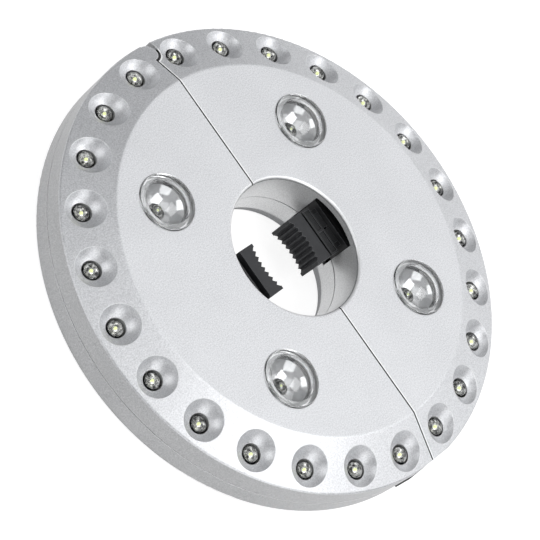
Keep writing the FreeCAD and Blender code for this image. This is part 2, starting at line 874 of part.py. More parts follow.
def jaw_carrier():
    """The right jaw's carrier: neck, front block with two top pockets, spring hood, legs and flange."""
    neck = box(pad_back, carrier_front + bite, -neck_half_width, neck_half_width, neck_bottom, neck_top)
    block = box(carrier_front, carrier_back, -jaw_half_width, jaw_half_width, jaw_bottom, carrier_top)
    legs = [box(carrier_back - bite, flange_front + bite, y, y + leg_outer - leg_inner, leg_bottom, leg_top)
            for y in (-leg_outer, leg_inner)]
    hood_width = hood_half_width - hood_gap
    hoods = [box(carrier_back - bite, hood_back, y, y + hood_width, hood_bottom, hood_top)
             for y in (-hood_half_width, hood_gap)]
    flange = box(flange_front, flange_back, -flange_half_width, flange_half_width, jaw_bottom, jaw_top)
    body = joined([neck, block, flange] + legs + hoods)
    pocket_length = jaw_half_width - carrier_border * 3 / 2
    pockets = [box(carrier_front + carrier_border, carrier_back - carrier_border, y, y + pocket_length,
                   carrier_top - carrier_pocket_depth, far)
               for y in (carrier_border / 2, carrier_border - jaw_half_width)]
    room = rod(flange_front, 0, jaw_middle, jaw_spring_radius + 2 * jaw_spring_wire, flange_thickness,
               Vector(1, 0, 0))
    return body.cut(pockets + [room])


def jaw_guide():
    """The channel that the right jaw's flange slides in, with ears for two screws."""
    outer = guide_half_width + guide_wall
    shell = box(flange_front, guide_back + guide_wall, -outer, outer, guide_low - guide_wall,
                guide_high + guide_wall)
    foot = box(guide_screw_x - guide_foot_half_length, guide_screw_x + guide_foot_half_length,
               -outer, outer, wall, guide_low)
    ears = box(guide_screw_x - ear_half_width, guide_screw_x + ear_half_width,
               -ear_half_length, ear_half_length, ear_bottom, ear_bottom + ear_thickness)
    channel = box(0, guide_back, -guide_half_width, guide_half_width, guide_low, guide_high)
    post_start = guide_back - spring_post_length
    post_radius_inside = jaw_spring_radius - 2 * jaw_spring_wire
    post = rod(post_start, 0, jaw_middle, post_radius_inside, spring_post_length + bite, Vector(1, 0, 0))
    holes = [rod(guide_screw_x, y, 0, small_screw_radius + screw_clearance, far)
             for y in (-guide_screw_y, guide_screw_y)]
    body = joined([shell, foot, ears]).cut([channel] + holes)
    return joined([body, post])


def jaw_spring():
    """The right jaw's spring, from the carrier's plate to the back of its guide."""
    return coil(Vector(carrier_back, 0, jaw_middle), Vector(1, 0, 0), Vector(0, 1, 0), jaw_spring_radius,
                jaw_spring_wire, jaw_spring_turns, guide_back - carrier_back)


def hook():
    """A flat hanging hook with its barrel."""
    z0 = hook_axis_z - hook_thickness / 2
    z1 = hook_axis_z + hook_thickness / 2
    middle = (hook_left + hook_right) / 2
    width = hook_right - hook_left
    outer = width / 2
    barrel = rod(hook_left, hook_axis_y, hook_axis_z, hook_barrel_radius, width, Vector(1, 0, 0))
    shank = box(hook_left, hook_left + hook_arm, hook_bow_y, hook_axis_y, z0, z1)
    tip = box(hook_right - hook_arm, hook_right, hook_bow_y, hook_tip_y, z0, z1)
    bow = rod(middle, hook_bow_y, z0, outer, hook_thickness)
    bow = bow.cut(rod(middle, hook_bow_y, z0, outer - hook_arm, hook_thickness))
    bow = bow.common(box(hook_left, hook_right, 0, hook_bow_y, z0, z1))
    return joined([barrel, shank, tip, bow]).cut(hook_pin(hook_pin_radius + pin_clearance))


def snap_finger():
    """The springy finger of the right half, whose barb catches a rib in the left half."""
    y0 = -finger_front
    y1 = y0 + finger_thickness
    blade = box(-finger_tip, finger_root, y0, y1, finger_bottom, finger_top)
    catch = -catch_rib_start - catch_rib_thickness - button_clearance
    barb = prism([
        (catch, y0 + barb_root),
        (catch, y0 - barb_reach),
        (catch - barb_flat, y0 - barb_reach),
        (-finger_tip + barb_inset, y0 + barb_root)], finger_bottom, barb_top - button_clearance)
    return joined([blade, barb]).cut(finger_screw_rod(y0, finger_thickness, pin_clearance))


def finger_screw():
    """The screw that holds the snap finger to its post."""
    head = rod(finger_screw_x, -finger_front - small_head_height, finger_screw_z, small_head_radius,
               small_head_height, Vector(0, 1, 0))
    return joined([head, finger_screw_rod(-finger_front, finger_thickness + finger_post_depth)])


def release_button():
    """The latch's push button, with a flange inside the wall and a nose that meets the finger."""
    back = -button_flange_back
    cap = box(-button_left, -button_right, -button_face, back, button_bottom, button_top)
    flange = box(-button_left - button_flange, -button_right, -outer_radius + wall + button_flange_gap, back,
                 button_bottom - button_flange + button_flange_step, button_top - button_flange_step)
    flange = flange.common(rod(0, 0, 0, outer_radius - wall - button_clearance, far))
    nose_start = -button_left + button_nose_inset
    nose = box(nose_start, nose_start + button_nose_width, back - bite, -finger_front - button_finger_gap,
               button_bottom, finger_top - barb_inset)
    return joined([cap, flange, nose])


def power_button():
    """The round on-off button with its flange."""
    flange_top = outer_radius - wall - power_flange_thickness
    stem = power_rod(flange_top - bite, outer_radius + power_proud, power_radius)
    flange = power_rod(flange_top - power_flange_thickness, flange_top, power_radius + power_flange)
    return joined([stem, flange])


def power_switch():
    """The push switch behind the power button, on a bracket that hangs from the lamp board."""
    tip_end = outer_radius - wall - 2 * power_flange_thickness - power_travel - switch_gap
    face = tip_end - switch_tip_length
    back = face - switch_depth
    half = switch_size / 2
    bottom = power_height - half
    side = half + switch_bracket_margin
    tip = power_rod(face - bite, tip_end, switch_tip_radius)
    block = box(back, face, -half, half, bottom, bottom + switch_size)
    block.rotate(Vector(0, 0, 0), Vector(0, 0, 1), power_angle)
    bracket = box(back - switch_bracket, back, -side, side, bottom, board_bottom)
    bracket.rotate(Vector(0, 0, 0), Vector(0, 0, 1), power_angle)
    return joined([tip, block, bracket])


def export(name, solids):
    """Write one node, a group of closed solids, and say what it holds."""
    flat = []
    for shape in solids:
        flat.extend(shape.Solids)
    for solid in flat:
        if not solid.isValid() or solid.Volume <= 0:
            print("PROBLEM with", name)
    shape = flat[0] if len(flat) == 1 else Part.makeCompound(flat)
    shape.exportStep(os.path.join("parts", name + ".step"))
    print(name, len(flat), "solids, volume", round(sum(solid.Volume for solid in flat), 1))


def export_both(name, solids):
    """Write a right-hand node and its copy on the left half."""
    export(name + "_right", solids)
    export(name + "_left", [half_turn(solid) for solid in solids])


def main():
    os.makedirs("parts", exist_ok=True)
    front_left, back_left = left_covers()
    front_right, back_right = right_covers()
    export("front_cover_left", [front_left])
    export("back_cover_left", [back_left])
    export("front_cover_right", [front_right])
    export("back_cover_right", [back_right])
    export("hinge_pin", [knuckle(hinge_pin_bottom, hinge_pin_top, hinge_pin_radius)])
    export_both("ring_lamps", [lamp(polar(ring_led_radius, angle), led_top, led_radius)
                               for angle in ring_angles()])
    export_both("dome_lamps", [lamp(place, dome_led_top, dome_led_radius) for place in dome_places()])
    for place, (x, y) in zip(["hinge_side", "latch_side"], dome_places()):
        export("lens_right_" + place, [lens(x, y)])
        export("reflector_right_" + place, [reflector(x, y)])
        export("lens_left_" + place, [lens(-x, y)])
        export("reflector_left_" + place, [reflector(-x, y)])
    export_both("lamp_board", [board()])
    export_both("cells", cells())
    export_both("cell_contacts", contacts())
    export_both("cell_springs", cell_springs())
    export_both("battery_door", [door()])
    export_both("jaw_pad", [jaw_pad()])
    export_both("jaw_carrier", [jaw_carrier()])
    export_both("jaw_guide", [jaw_guide()])
    export_both("jaw_spring", [jaw_spring()])
    export_both("cover_screws", [screw(x, y, screw_head_inset, screw_head_radius, screw_head_height,
                                       screw_shank_radius, screw_length, True) for x, y in cover_screws])
    export_both("guide_screws", [screw(guide_screw_x, y, ear_bottom + ear_thickness + small_head_height,
                                       small_head_radius, small_head_height, small_screw_radius,
                                       small_screw_length, False)
                                 for y in (-guide_screw_y, guide_screw_y)])
    export_both("hanging_hook", [hook()])
    export_both("hook_pin", [hook_pin(hook_pin_radius)])
    export("snap_finger", [snap_finger()])
    export("finger_screw", [finger_screw()])
    export("release_button", [release_button()])
    export("power_button", [power_button()])
    export("power_switch", [power_switch()])


main()
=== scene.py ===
import bpy
import bmesh
import json
import math
from mathutils import Matrix, Vector


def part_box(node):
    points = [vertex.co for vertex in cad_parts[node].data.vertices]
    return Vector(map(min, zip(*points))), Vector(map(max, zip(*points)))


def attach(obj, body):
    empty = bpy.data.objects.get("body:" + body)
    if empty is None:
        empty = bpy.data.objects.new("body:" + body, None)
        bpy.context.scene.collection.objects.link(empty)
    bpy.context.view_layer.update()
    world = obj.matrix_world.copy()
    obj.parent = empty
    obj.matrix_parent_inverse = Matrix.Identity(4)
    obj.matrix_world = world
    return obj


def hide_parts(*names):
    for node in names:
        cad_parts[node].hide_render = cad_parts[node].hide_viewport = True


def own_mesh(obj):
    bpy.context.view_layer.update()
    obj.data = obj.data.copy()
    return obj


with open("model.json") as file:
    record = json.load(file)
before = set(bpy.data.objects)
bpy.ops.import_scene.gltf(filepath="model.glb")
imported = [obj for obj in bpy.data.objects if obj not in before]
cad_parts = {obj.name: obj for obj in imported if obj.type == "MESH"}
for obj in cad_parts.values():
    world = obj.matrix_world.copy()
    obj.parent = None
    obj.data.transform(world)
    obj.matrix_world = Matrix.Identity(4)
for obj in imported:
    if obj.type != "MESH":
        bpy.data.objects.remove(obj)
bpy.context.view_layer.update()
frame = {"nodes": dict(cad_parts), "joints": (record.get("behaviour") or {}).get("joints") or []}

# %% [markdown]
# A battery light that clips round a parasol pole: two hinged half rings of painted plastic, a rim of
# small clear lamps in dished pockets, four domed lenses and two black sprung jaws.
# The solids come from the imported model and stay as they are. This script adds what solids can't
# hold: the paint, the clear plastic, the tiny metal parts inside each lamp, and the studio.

SIDES = ["left", "right"]
MM = 0.001

# %% [markdown]
# The camera comes first, because everything else is judged through it. Its place and lens were worked
# out from the ring of pockets: a long lens about a metre away, rolled so that the hinge is at the upper
# left. The three rows are the camera's right, down and forward directions.

# %% Camera
RIGHT = Vector((0.6282323, -0.57584313, 0.52319104))
DOWN = Vector((-0.41829946, -0.81699062, -0.39692806))
FORWARD = Vector((0.65601047, 0.0305125, -0.75413477))
STAND = Vector((-616.95, -30.01, 720.49)) * MM
FOCAL_PIXELS = 2364.55
FRAME_PIXELS = 540
SENSOR = 36.0


def make_camera():
    data = bpy.data.cameras.new("camera")
    data.sensor_width = SENSOR
    data.lens = FOCAL_PIXELS * SENSOR / FRAME_PIXELS
    data.clip_start = 0.01
    data.clip_end = 20.0
    camera = bpy.data.objects.new("camera", data)
    turn = Matrix((RIGHT, -DOWN, -FORWARD)).transposed()
    camera.matrix_world = Matrix.Translation(STAND) @ turn.to_4x4()
    bpy.context.scene.collection.objects.link(camera)
    bpy.context.scene.camera = camera
    return camera


camera = make_camera()
print("camera with a lens of", round(camera.data.lens, 1), "mm")

# %% [markdown]
# A shader is a graph of sockets. Written as plain node calls it is long and hard to read, so a small
# class wraps one output socket: `mask * 0.5 + 0.1` adds the Math nodes by itself, and one method makes
# every other kind of node.

# %% A socket that can be used in sums
class Wire:
    """An output socket of a shader tree."""

    def __init__(self, tree, socket=None):
        self.tree = tree
        self.socket = socket

    def node(self, kind, settings=None, sockets=None, out=0):
        """A new node: its settings first, then the value or link of each input."""
        made = self.tree.nodes.new(kind)
        for name, value in (settings or {}).items():
            setattr(made, name, value)
        for name, value in (sockets or {}).items():
            if isinstance(value, Wire):
                self.tree.links.new(value.socket, made.inputs[name])
            elif made.inputs[name].type == "RGBA":
                made.inputs[name].default_value = (*value, 1.0)
            else:
                made.inputs[name].default_value = value
        return Wire(self.tree, made.outputs[out] if made.outputs else None)

    def maths(self, operation, first, second=0.0):
        return self.node("ShaderNodeMath", {"operation": operation}, {0: first, 1: second})

    def __add__(self, other):
        return self.maths("ADD", self, other)

    def __sub__(self, other):
        return self.maths("SUBTRACT", self, other)

    def __rsub__(self, other):
        return self.maths("SUBTRACT", other, self)

    def __mul__(self, other):
        return self.maths("MULTIPLY", self, other)

    def __gt__(self, other):
        return self.maths("GREATER_THAN", self, other)

    __radd__ = __add__
    __rmul__ = __mul__

    def vector(self, operation, first, second=(0.0, 0.0, 0.0)):
        """Vector maths: a length or a dot product gives a number, the rest a vector."""
        out = "Value" if operation in ("LENGTH", "DOT_PRODUCT") else "Vector"
        return self.node("ShaderNodeVectorMath", {"operation": operation}, {0: first, 1: second}, out)

    def absolute(self):
        return self.maths("ABSOLUTE", self)

    def capped(self):
        return self.maths("MINIMUM", self.maths("MAXIMUM", self, 0.0), 1.0)

    def axis(self, name):
        """One coordinate of this vector."""
        return self.node("ShaderNodeSeparateXYZ", {}, {0: self}, name)

    def place(self):
        """The point on the object, in metres."""
        return self.node("ShaderNodeTexCoord", {}, {}, "Object")

    def facing(self):
        """The direction in which the surface faces."""
        return self.node("ShaderNodeNewGeometry", {}, {}, "Normal")

    def noise(self, grain, detail=2.0):
        """Noise from 0 to 1 whose blobs are about one grain wide, in metres."""
        inputs = {"Vector": self.place(), "Scale": 1.0 / grain, "Detail": detail}
        return self.node("ShaderNodeTexNoise", {}, inputs)

    def blend(self, factor, low, high):
        """A colour between two others."""
        settings = {"data_type": "RGBA"}
        return self.node("ShaderNodeMix", settings, {0: factor, 6: low, 7: high}, 2)

    def bump(self, height, depth, under=None):
        """A normal tilted by a relief: its height from 0 to 1, and its depth in metres."""
        inputs = {"Distance": depth, "Height": height}
        if under is not None:
            inputs["Normal"] = under
        return self.node("ShaderNodeBump", {}, inputs)

    def soft_edge(self, radius):
        """The normal as if every edge were rounded by a small radius."""
        return self.node("ShaderNodeBevel", {"samples": 6}, {"Radius": radius})

    def edges(self, radius):
        """1 at sharp edges, 0 on flat ground."""
        agreement = self.vector("DOT_PRODUCT", self.facing(), self.soft_edge(radius))
        return ((1.0 - agreement) * 6.0).capped()


def material(name, recipe):
    """A material whose recipe turns a Wire into the inputs of one Principled shader."""
    made = bpy.data.materials.new(name)
    made.use_nodes = True
    made.node_tree.nodes.clear()
    start = Wire(made.node_tree)
    shader = start.node("ShaderNodeBsdfPrincipled", {}, recipe(start))
    start.node("ShaderNodeOutputMaterial", {}, {"Surface": shader})
    return made


print("shader helpers ready")

# %% [markdown]
# The casing is moulded plastic with a silver paint. Close up the paint is a fine sparkle of metal
# flakes, so a noise with grains of half a millimetre moves its colour, gloss and normal a little. Light
# and shade are painted into the colour as well: the upright outer wall and the band under the bore's lip
# get a darker painted shade, and the bore a paler painted light. The line where the two covers meet is
# painted dark as shade, and so are the seam and the wall round the hinge. A Bevel node rounds the moulded
# edges, and the edges it finds are painted pale as a highlight. The right half's edge along the seam and
# round the hinge gets a painted white highlight, and so does the lip of the bore.
# The places follow the solids where their boxes and joints give them. The last four values say how far
# a face looks up or sideways, from 0 to 1.

# %% Where the paint changes
JOINTS = {joint["name"]: joint for joint in frame["joints"]}
HINGE = JOINTS["half_hinge"]["pos_m"]
OUTER_RADIUS = -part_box("back_cover_left")[0].x
FRONT_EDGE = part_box("front_cover_left")[0].z
FLAKE = 0.5 * MM
ROUNDING = 0.35 * MM
OUTER_WALL = OUTER_RADIUS - 3 * MM
BORE_WALL = 31 * MM
BORE_STEP = 36 * MM
COVER_JOINT = (FRONT_EDGE - 0.445 * MM, FRONT_EDGE - 0.005 * MM)
SEAM_START = 30.5 * MM
SEAM_END = OUTER_RADIUS - 0.4 * MM
HINGE_RECESS = 4.9 * MM
LAMP_SIDE = 24 * MM
SEAM_LIP = (0.2 * MM, 0.8 * MM)
SEAM_DARK = (-0.25 * MM, 0.15 * MM)
SEAM_FACE = 0.4 * MM
HINGE_WALL = (4.3 * MM, 5.0 * MM)
HINGE_LIP = (4.6 * MM, 5.5 * MM)
UPRIGHT = 0.3
SIDEWAYS = 0.95
UNDER_LIP = (0.05, 0.5)
LIP_TOP = (0.6, 0.95)


def band(value, low, high):
    """1 where a value lies between two limits, 0 elsewhere."""
    return (value > low) * (1.0 - (value > high))


def axis_distance(start, centre=(0.0, 0.0, 0.0)):
    """The distance from the upright axis through a point, which is the pole's own axis if none is given."""
    spot = start.vector("SUBTRACT", start.place(), centre)
    return start.vector("LENGTH", start.vector("MULTIPLY", spot, (1.0, 1.0, 0.0)))


def beside_seam(start, reach, limits):
    """1 on the lamp side between two distances from the seam, up to the hinge and the latch."""
    spot = start.place()
    room = SEAM_END - HINGE[1] + HINGE_RECESS
    end = SEAM_END - room * (spot.axis("Y") > 0.0)
    strip = band(spot.axis("X"), *limits) * band(reach, SEAM_START, end)
    return strip * (spot.axis("Z") > LAMP_SIDE)


def round_hinge(start, limits):
    """1 on the right half between two distances from the hinge's axis."""
    return band(axis_distance(start, HINGE), *limits) * (start.place().axis("X") > 0.0)


print("flakes of", FLAKE / MM, "mm and", ROUNDING / MM, "mm of rounding")

# %% [markdown]
# The recipe first mixes the coat with its painted shade and light: darker on the outer wall and under
# the bore's lip, paler in the bore. Over it come the painted highlights on the edges, and then the dark
# lines of painted shade.

# %% Silver paint
# The first colour is a painted white highlight; the other two are painted shade in the cover joint and in
# the seam.
HIGHLIGHT_WHITE = (0.92, 0.925, 0.93)
JOINT_SHADE = (0.03, 0.03, 0.032)
SEAM_SHADE = (0.05, 0.051, 0.053)


def coat_with_painted_light(start, flakes, rim, bore, under_lip):
    """The colour of the paint, with a darker painted shade on the outer wall and under the bore's lip, and a
    paler painted light in the bore.
    """
    clouds = start.noise(22 * MM, 3.0)
    tone = ((flakes - 0.5) * 2.2 + clouds * 0.35 + 0.34).capped()
    plain = start.blend(tone, (0.49, 0.497, 0.512), (0.73, 0.738, 0.756))
    # A darker colour as painted shade, and a paler one as painted light.
    painted_shade_coat = start.blend(tone, (0.30, 0.303, 0.31), (0.52, 0.523, 0.53))
    painted_light_coat = start.blend(tone, (0.68, 0.685, 0.69), (0.90, 0.905, 0.91))
    return start.blend(under_lip, start.blend(bore, start.blend(rim, plain, painted_shade_coat), painted_light_coat), painted_shade_coat)


def silver_paint(start):
    flakes = start.noise(FLAKE, 1.5)
    peel = start.noise(0.9 * MM, 1.0)
    across, up = (start.facing().axis(name) for name in ("X", "Z"))
    upright = 1.0 - (up.absolute() > UPRIGHT)
    reach = axis_distance(start)
    rim = (reach > OUTER_WALL) * upright
    bore = (1.0 - (reach > BORE_WALL)) * upright
    near_bore = 1.0 - (reach > BORE_STEP)
    # The coat paints shade on the outer wall and under the bore's lip, and light in the bore.
    coat = coat_with_painted_light(start, flakes, rim, bore, band(up, *UNDER_LIP) * near_bore)
    # Painted highlights: a white line beside the seam, round the hinge, on the bore's lip and on every
    # rounded edge.
    hinge_lip = round_hinge(start, HINGE_LIP) * (1.0 - upright)
    highlight_lines = (beside_seam(start, reach, SEAM_LIP) + hinge_lip).capped()
    bore_lip = band(up, *LIP_TOP) * near_bore * 0.7
    edge = (start.edges(ROUNDING) + highlight_lines + bore_lip).capped()
    # Painted shade: the joint between the covers, the seam and the wall round the hinge are painted dark.
    joint = band(start.place().axis("Z"), *COVER_JOINT) * (rim + bore)
    seam_face = (across.absolute() > SIDEWAYS) * (1.0 - (start.place().axis("X").absolute() > SEAM_FACE))
    hinge_wall = round_hinge(start, HINGE_WALL) * upright
    seam = (seam_face + beside_seam(start, reach, SEAM_DARK) + hinge_wall).capped()
    painted = start.blend(joint, start.blend(edge, coat, HIGHLIGHT_WHITE), JOINT_SHADE)
    return {
        "Base Color": start.blend(seam, painted, SEAM_SHADE),
        # Less metal under the painted highlight lines, so that they read white.
        "Metallic": 0.6 - highlight_lines * 0.5,
        "Roughness": 0.42 + (flakes - 0.5) * 0.2,
        "Normal": start.bump(flakes + peel * 0.6, 0.02 * MM, start.soft_edge(ROUNDING)),
    }


silver = material("silver_paint", silver_paint)
print("made", silver.name)

# %% [markdown]
# The jaws and buttons are black plastic and rubber. Moulded black is never one black: it has a fine
# spark texture and its edges are paler, partly wear and partly a painted highlight, which is how the teeth
# read in the photograph.
# The guides behind the jaws are dull, and their colour is painted darker as shade, since they sit in a slot
# that hardly any light enters.

# %% Black plastic and rubber
def black_plastic(start):
    grain = start.noise(0.28 * MM, 2.0)
    clouds = start.noise(9 * MM, 2.0)
    colour = start.blend(clouds, (0.012, 0.0125, 0.0135), (0.022, 0.0225, 0.024))
    return {
        # Paler edges: partly wear, partly a painted highlight.
        "Base Color": start.blend(start.edges(0.3 * MM), colour, (0.10, 0.104, 0.11)),
        "Roughness": 0.36 + grain * 0.16,
        "Normal": start.bump(grain, 0.02 * MM, start.soft_edge(0.25 * MM)),
    }


def jaw_rubber(start):
    grain = start.noise(0.22 * MM, 3.0)
    dust = start.noise(4 * MM, 3.0)
    colour = start.blend(dust, (0.012, 0.0126, 0.0148), (0.028, 0.0292, 0.0328))
    return {
        # Paler edges: partly wear, partly a painted highlight.
        "Base Color": start.blend(start.edges(0.3 * MM), colour, (0.13, 0.135, 0.14)),
        "Roughness": 0.5 + grain * 0.2,
        "Normal": start.bump(grain, 0.03 * MM, start.soft_edge(0.3 * MM)),
    }


def shaded_black(start):
    grain = start.noise(0.5 * MM, 2.0)
    return {
        # Nearly black: painted shade for a slot that little light enters.
        "Base Color": start.blend(grain, (0.002, 0.002, 0.0022), (0.006, 0.0062, 0.0066)),
        "Roughness": 0.6 + grain * 0.15,
        "Specular IOR Level": 0.12,
    }


black = material("black_plastic", black_plastic)
guide_painted_shade = material("guide_painted_shade", shaded_black)
rubber = material("jaw_rubber", jaw_rubber)
print("made", black.name, guide_painted_shade.name, rubber.name)

# %% [markdown]
# Clear plastic is made with transmission and the real refractive index. The lens is a thin polished
# shell; the lamps are solid epoxy with the faint green of moulded resin. Smudges only change the gloss.

# %% Clear plastics
def clear_lens(start):
    smudge = start.noise(6 * MM, 2.0)
    return {
        "Base Color": start.blend(smudge, (0.965, 0.975, 0.98), (0.985, 0.99, 0.99)),
        "Transmission Weight": 1.0,
        "IOR": 1.49,
        "Roughness": 0.01 + smudge * 0.02,
    }


def lamp_resin(start):
    cloud = start.noise(2 * MM, 2.0)
    return {
        "Base Color": start.blend(cloud, (0.93, 0.95, 0.92), (0.98, 0.985, 0.97)),
        "Transmission Weight": 1.0,
        "IOR": 1.5,
        "Roughness": 0.015 + cloud * 0.02,
    }


lens_clear = material("clear_lens", clear_lens)
resin = material("lamp_resin", lamp_resin)
print("made", lens_clear.name, "and", resin.name)

# %% [markdown]
# Several metals differ only in colour and gloss: the polished bowls behind the lenses, the plated
# contacts and lamp cups, the steel of screws and springs. One recipe with a fine streak of wear covers
# them, and keeps them related. A bowl is bright plastic with a thin metal skin, so it is half bare.

# %% Bare metals
def metal(colour, bright, gloss, streak, bare=1.0, crisp=1.0):
    """A metal between two colours, by its gloss, its streaks in metres, and how bare and crisp it is."""
    def recipe(start):
        wear = start.noise(streak, 3.0)
        return {
            "Base Color": start.blend(((wear - 0.5) * crisp + 0.5).capped(), colour, bright),
            "Metallic": bare,
            "Roughness": gloss + wear * 0.08,
            "Normal": start.bump(wear, 0.004 * MM),
        }
    return recipe


bowl_metal = material("bowl_metal", metal((0.79, 0.793, 0.80), (0.87, 0.873, 0.88), 0.06, 5 * MM, 0.42))
plated = material("plated_metal", metal((0.66, 0.66, 0.64), (0.80, 0.80, 0.78), 0.16, 1 * MM))
cup_metal = material("cup_metal", metal((0.03, 0.03, 0.03), (0.95, 0.945, 0.93), 0.2, 1.1 * MM, 0.8, 3.5))
steel = material("screw_steel", metal((0.50, 0.505, 0.51), (0.66, 0.665, 0.67), 0.26, 0.8 * MM))
print("made", bowl_metal.name, plated.name, cup_metal.name, steel.name)

# %% [markdown]
# Inside the case there is a white lamp board, and plain wrapped cells with a pale band at each end.
# They are hidden while the case is shut, but a part in a library gets taken apart.

# %% Board, cells and phosphor
CELL_COLLAR = 16.5 * MM


def board_mask(start):
    weave = start.noise(1.2 * MM, 2.0)
    return {
        "Base Color": start.blend(weave, (0.72, 0.73, 0.70), (0.80, 0.81, 0.79)),
        "Roughness": 0.42 + weave * 0.1,
        "Normal": start.bump(weave, 0.01 * MM),
    }


def cell_wrap(start):
    end = start.facing().axis("Y").absolute() > 0.9
    collar = start.place().axis("Y").absolute() > CELL_COLLAR
    wrap = start.blend(collar, (0.03, 0.032, 0.036), (0.55, 0.56, 0.57))
    film = start.noise(3 * MM, 2.0)
    return {
        "Base Color": start.blend(end, wrap, (0.72, 0.72, 0.71)),
        "Metallic": end,
        "Roughness": 0.22 + film * 0.12,
    }


def phosphor(start):
    grain = start.noise(0.12 * MM, 1.0)
    return {
        "Base Color": start.blend(grain, (0.78, 0.86, 0.30), (0.93, 0.96, 0.55)),
        "Roughness": 0.45 + grain * 0.2,
        # A faint glow, painted light: the lamps are not lit, and it only makes the dot read bright.
        "Emission Color": (0.86, 0.93, 0.48),
        "Emission Strength": 0.55,
    }


board_white = material("board_white", board_mask)
wrapped = material("cell_wrap", cell_wrap)
phosphor_painted_glow = material("phosphor", phosphor)
print("made", board_white.name, wrapped.name, phosphor_painted_glow.name)

# %% [markdown]
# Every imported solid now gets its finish. The name of a node says what it is, so a table from the start
# of the name to a material is enough, and a node that isn't in the table stops the script.

# %% Finishes for the solids
FINISHES = {
    "front_cover": silver, "back_cover": silver, "battery_door": silver, "hanging_hook": silver,
    "ring_lamps": resin, "dome_lamps": resin, "lens": lens_clear, "reflector": bowl_metal,
    "lamp_board": board_white, "cells": wrapped, "cell_contacts": plated, "cell_springs": steel,
    "jaw_guide": guide_painted_shade, "jaw_carrier": black, "jaw_pad": rubber, "jaw_spring": steel,
    "cover_screws": steel, "guide_screws": steel, "finger_screw": steel, "hook_pin": steel,
    "hinge_pin": steel, "snap_finger": black, "release_button": black, "power_button": black,
    "power_switch": black,
}


def finish_solids():
    for name, solid in frame["nodes"].items():
        found = [key for key in FINISHES if name.startswith(key)]
        if not found:
            raise ValueError("no finish for " + name)
        solid.data.materials.clear()
        solid.data.materials.append(FINISHES[max(found, key=len)])
    return len(frame["nodes"])


print("finished", finish_solids(), "solids")

# %% [markdown]
# Small round parts are turned: a profile goes round the upright axis. Every profile here starts and
# ends on the axis, so the mesh is closed.

# %% A turned mesh
def turned_mesh(name, profile, steps=20):
    """A closed mesh from (radius, height) points in millimetres, the first and last on the axis."""
    builder = bmesh.new()
    rings = []
    for radius, height in profile:
        if radius == 0:
            rings.append([builder.verts.new((0, 0, height * MM))] * steps)
            continue
        ring = []
        for i in range(steps):
            angle = 2 * math.pi * i / steps
            ring.append(builder.verts.new((radius * MM * math.cos(angle), radius * MM * math.sin(angle),
                                           height * MM)))
        rings.append(ring)
    for low, high in zip(rings, rings[1:]):
        for i in range(steps):
            j = (i + 1) % steps
            corners = [low[i], low[j], high[j], high[i]]
            unique = [v for k, v in enumerate(corners) if v not in corners[:k]]
            builder.faces.new(unique)
    bmesh.ops.recalc_face_normals(builder, faces=builder.faces)
    mesh = bpy.data.meshes.new(name)
    builder.to_mesh(mesh)
    builder.free()
    for face in mesh.polygons:
        face.use_smooth = True
    return mesh


print("turned meshes ready")

# %% [markdown]
# The lamps stand on a circle at even angles, so Geometry Nodes place what is inside them: one small
# mesh goes in, and a row of points on a circle carries a copy each. The tree has named inputs for the
# number of copies, the circle's radius, the first angle and the step, and it ends in Realize
# Instances and Set Material, so that the result is one plain mesh. Every tree here starts and ends alike,
# so two functions take that up.

# %% The start and the end of a tree
def open_tree(name, inputs):
    """A tree with a mesh and the named inputs going in, and its nodes for the way in and the way out."""
    tree = bpy.data.node_groups.new(name, "GeometryNodeTree")
    face = tree.interface
    face.new_socket("Geometry", in_out="INPUT", socket_type="NodeSocketGeometry")
    for label, kind in inputs:
        face.new_socket(label, in_out="INPUT", socket_type="NodeSocket" + kind)
    face.new_socket("Geometry", in_out="OUTPUT", socket_type="NodeSocketGeometry")
    return tree, tree.nodes.new("NodeGroupInput"), tree.nodes.new("NodeGroupOutput")


def close_tree(tree, start, end, shape):
    """Copies become real faces with the material that comes in, and go out."""
    real = tree.nodes.new("GeometryNodeRealizeInstances")
    paint = tree.nodes.new("GeometryNodeSetMaterial")
    tree.links.new(shape.outputs[0], real.inputs[0])
    tree.links.new(real.outputs[0], paint.inputs[0])
    tree.links.new(start.outputs["Material"], paint.inputs["Material"])
    tree.links.new(paint.outputs[0], end.inputs[0])


print("tree helpers ready")

# %% A tree that sets copies on a circle
def ring_tree():
    tree, start, end = open_tree("copies_on_a_circle", (
        ("Count", "Int"), ("Radius", "Float"), ("First Angle", "Float"), ("Step Angle", "Float"),
        ("Material", "Material")))
    add, link = tree.nodes.new, tree.links.new
    line = add("GeometryNodeMeshLine")
    place = add("GeometryNodeSetPosition")
    copies = add("GeometryNodeInstanceOnPoints")
    index = add("GeometryNodeInputIndex")
    angle = add("ShaderNodeMath")
    angle.operation = "MULTIPLY_ADD"
    link(index.outputs[0], angle.inputs[0])
    link(start.outputs["Step Angle"], angle.inputs[1])
    link(start.outputs["First Angle"], angle.inputs[2])
    spot, turn = add("ShaderNodeCombineXYZ"), add("ShaderNodeCombineXYZ")
    for way, target in (("COSINE", 0), ("SINE", 1)):
        wave, reach = add("ShaderNodeMath"), add("ShaderNodeMath")
        wave.operation, reach.operation = way, "MULTIPLY"
        link(angle.outputs[0], wave.inputs[0])
        link(wave.outputs[0], reach.inputs[0])
        link(start.outputs["Radius"], reach.inputs[1])
        link(reach.outputs[0], spot.inputs[target])
    link(angle.outputs[0], turn.inputs[2])
    link(start.outputs["Count"], line.inputs["Count"])
    link(line.outputs[0], place.inputs["Geometry"])
    link(spot.outputs[0], place.inputs["Position"])
    link(place.outputs[0], copies.inputs["Points"])
    link(start.outputs["Geometry"], copies.inputs["Instance"])
    link(turn.outputs[0], copies.inputs["Rotation"])
    close_tree(tree, start, end, copies)
    return tree


RING_TREE = ring_tree()
print("tree with", len(RING_TREE.nodes), "nodes")

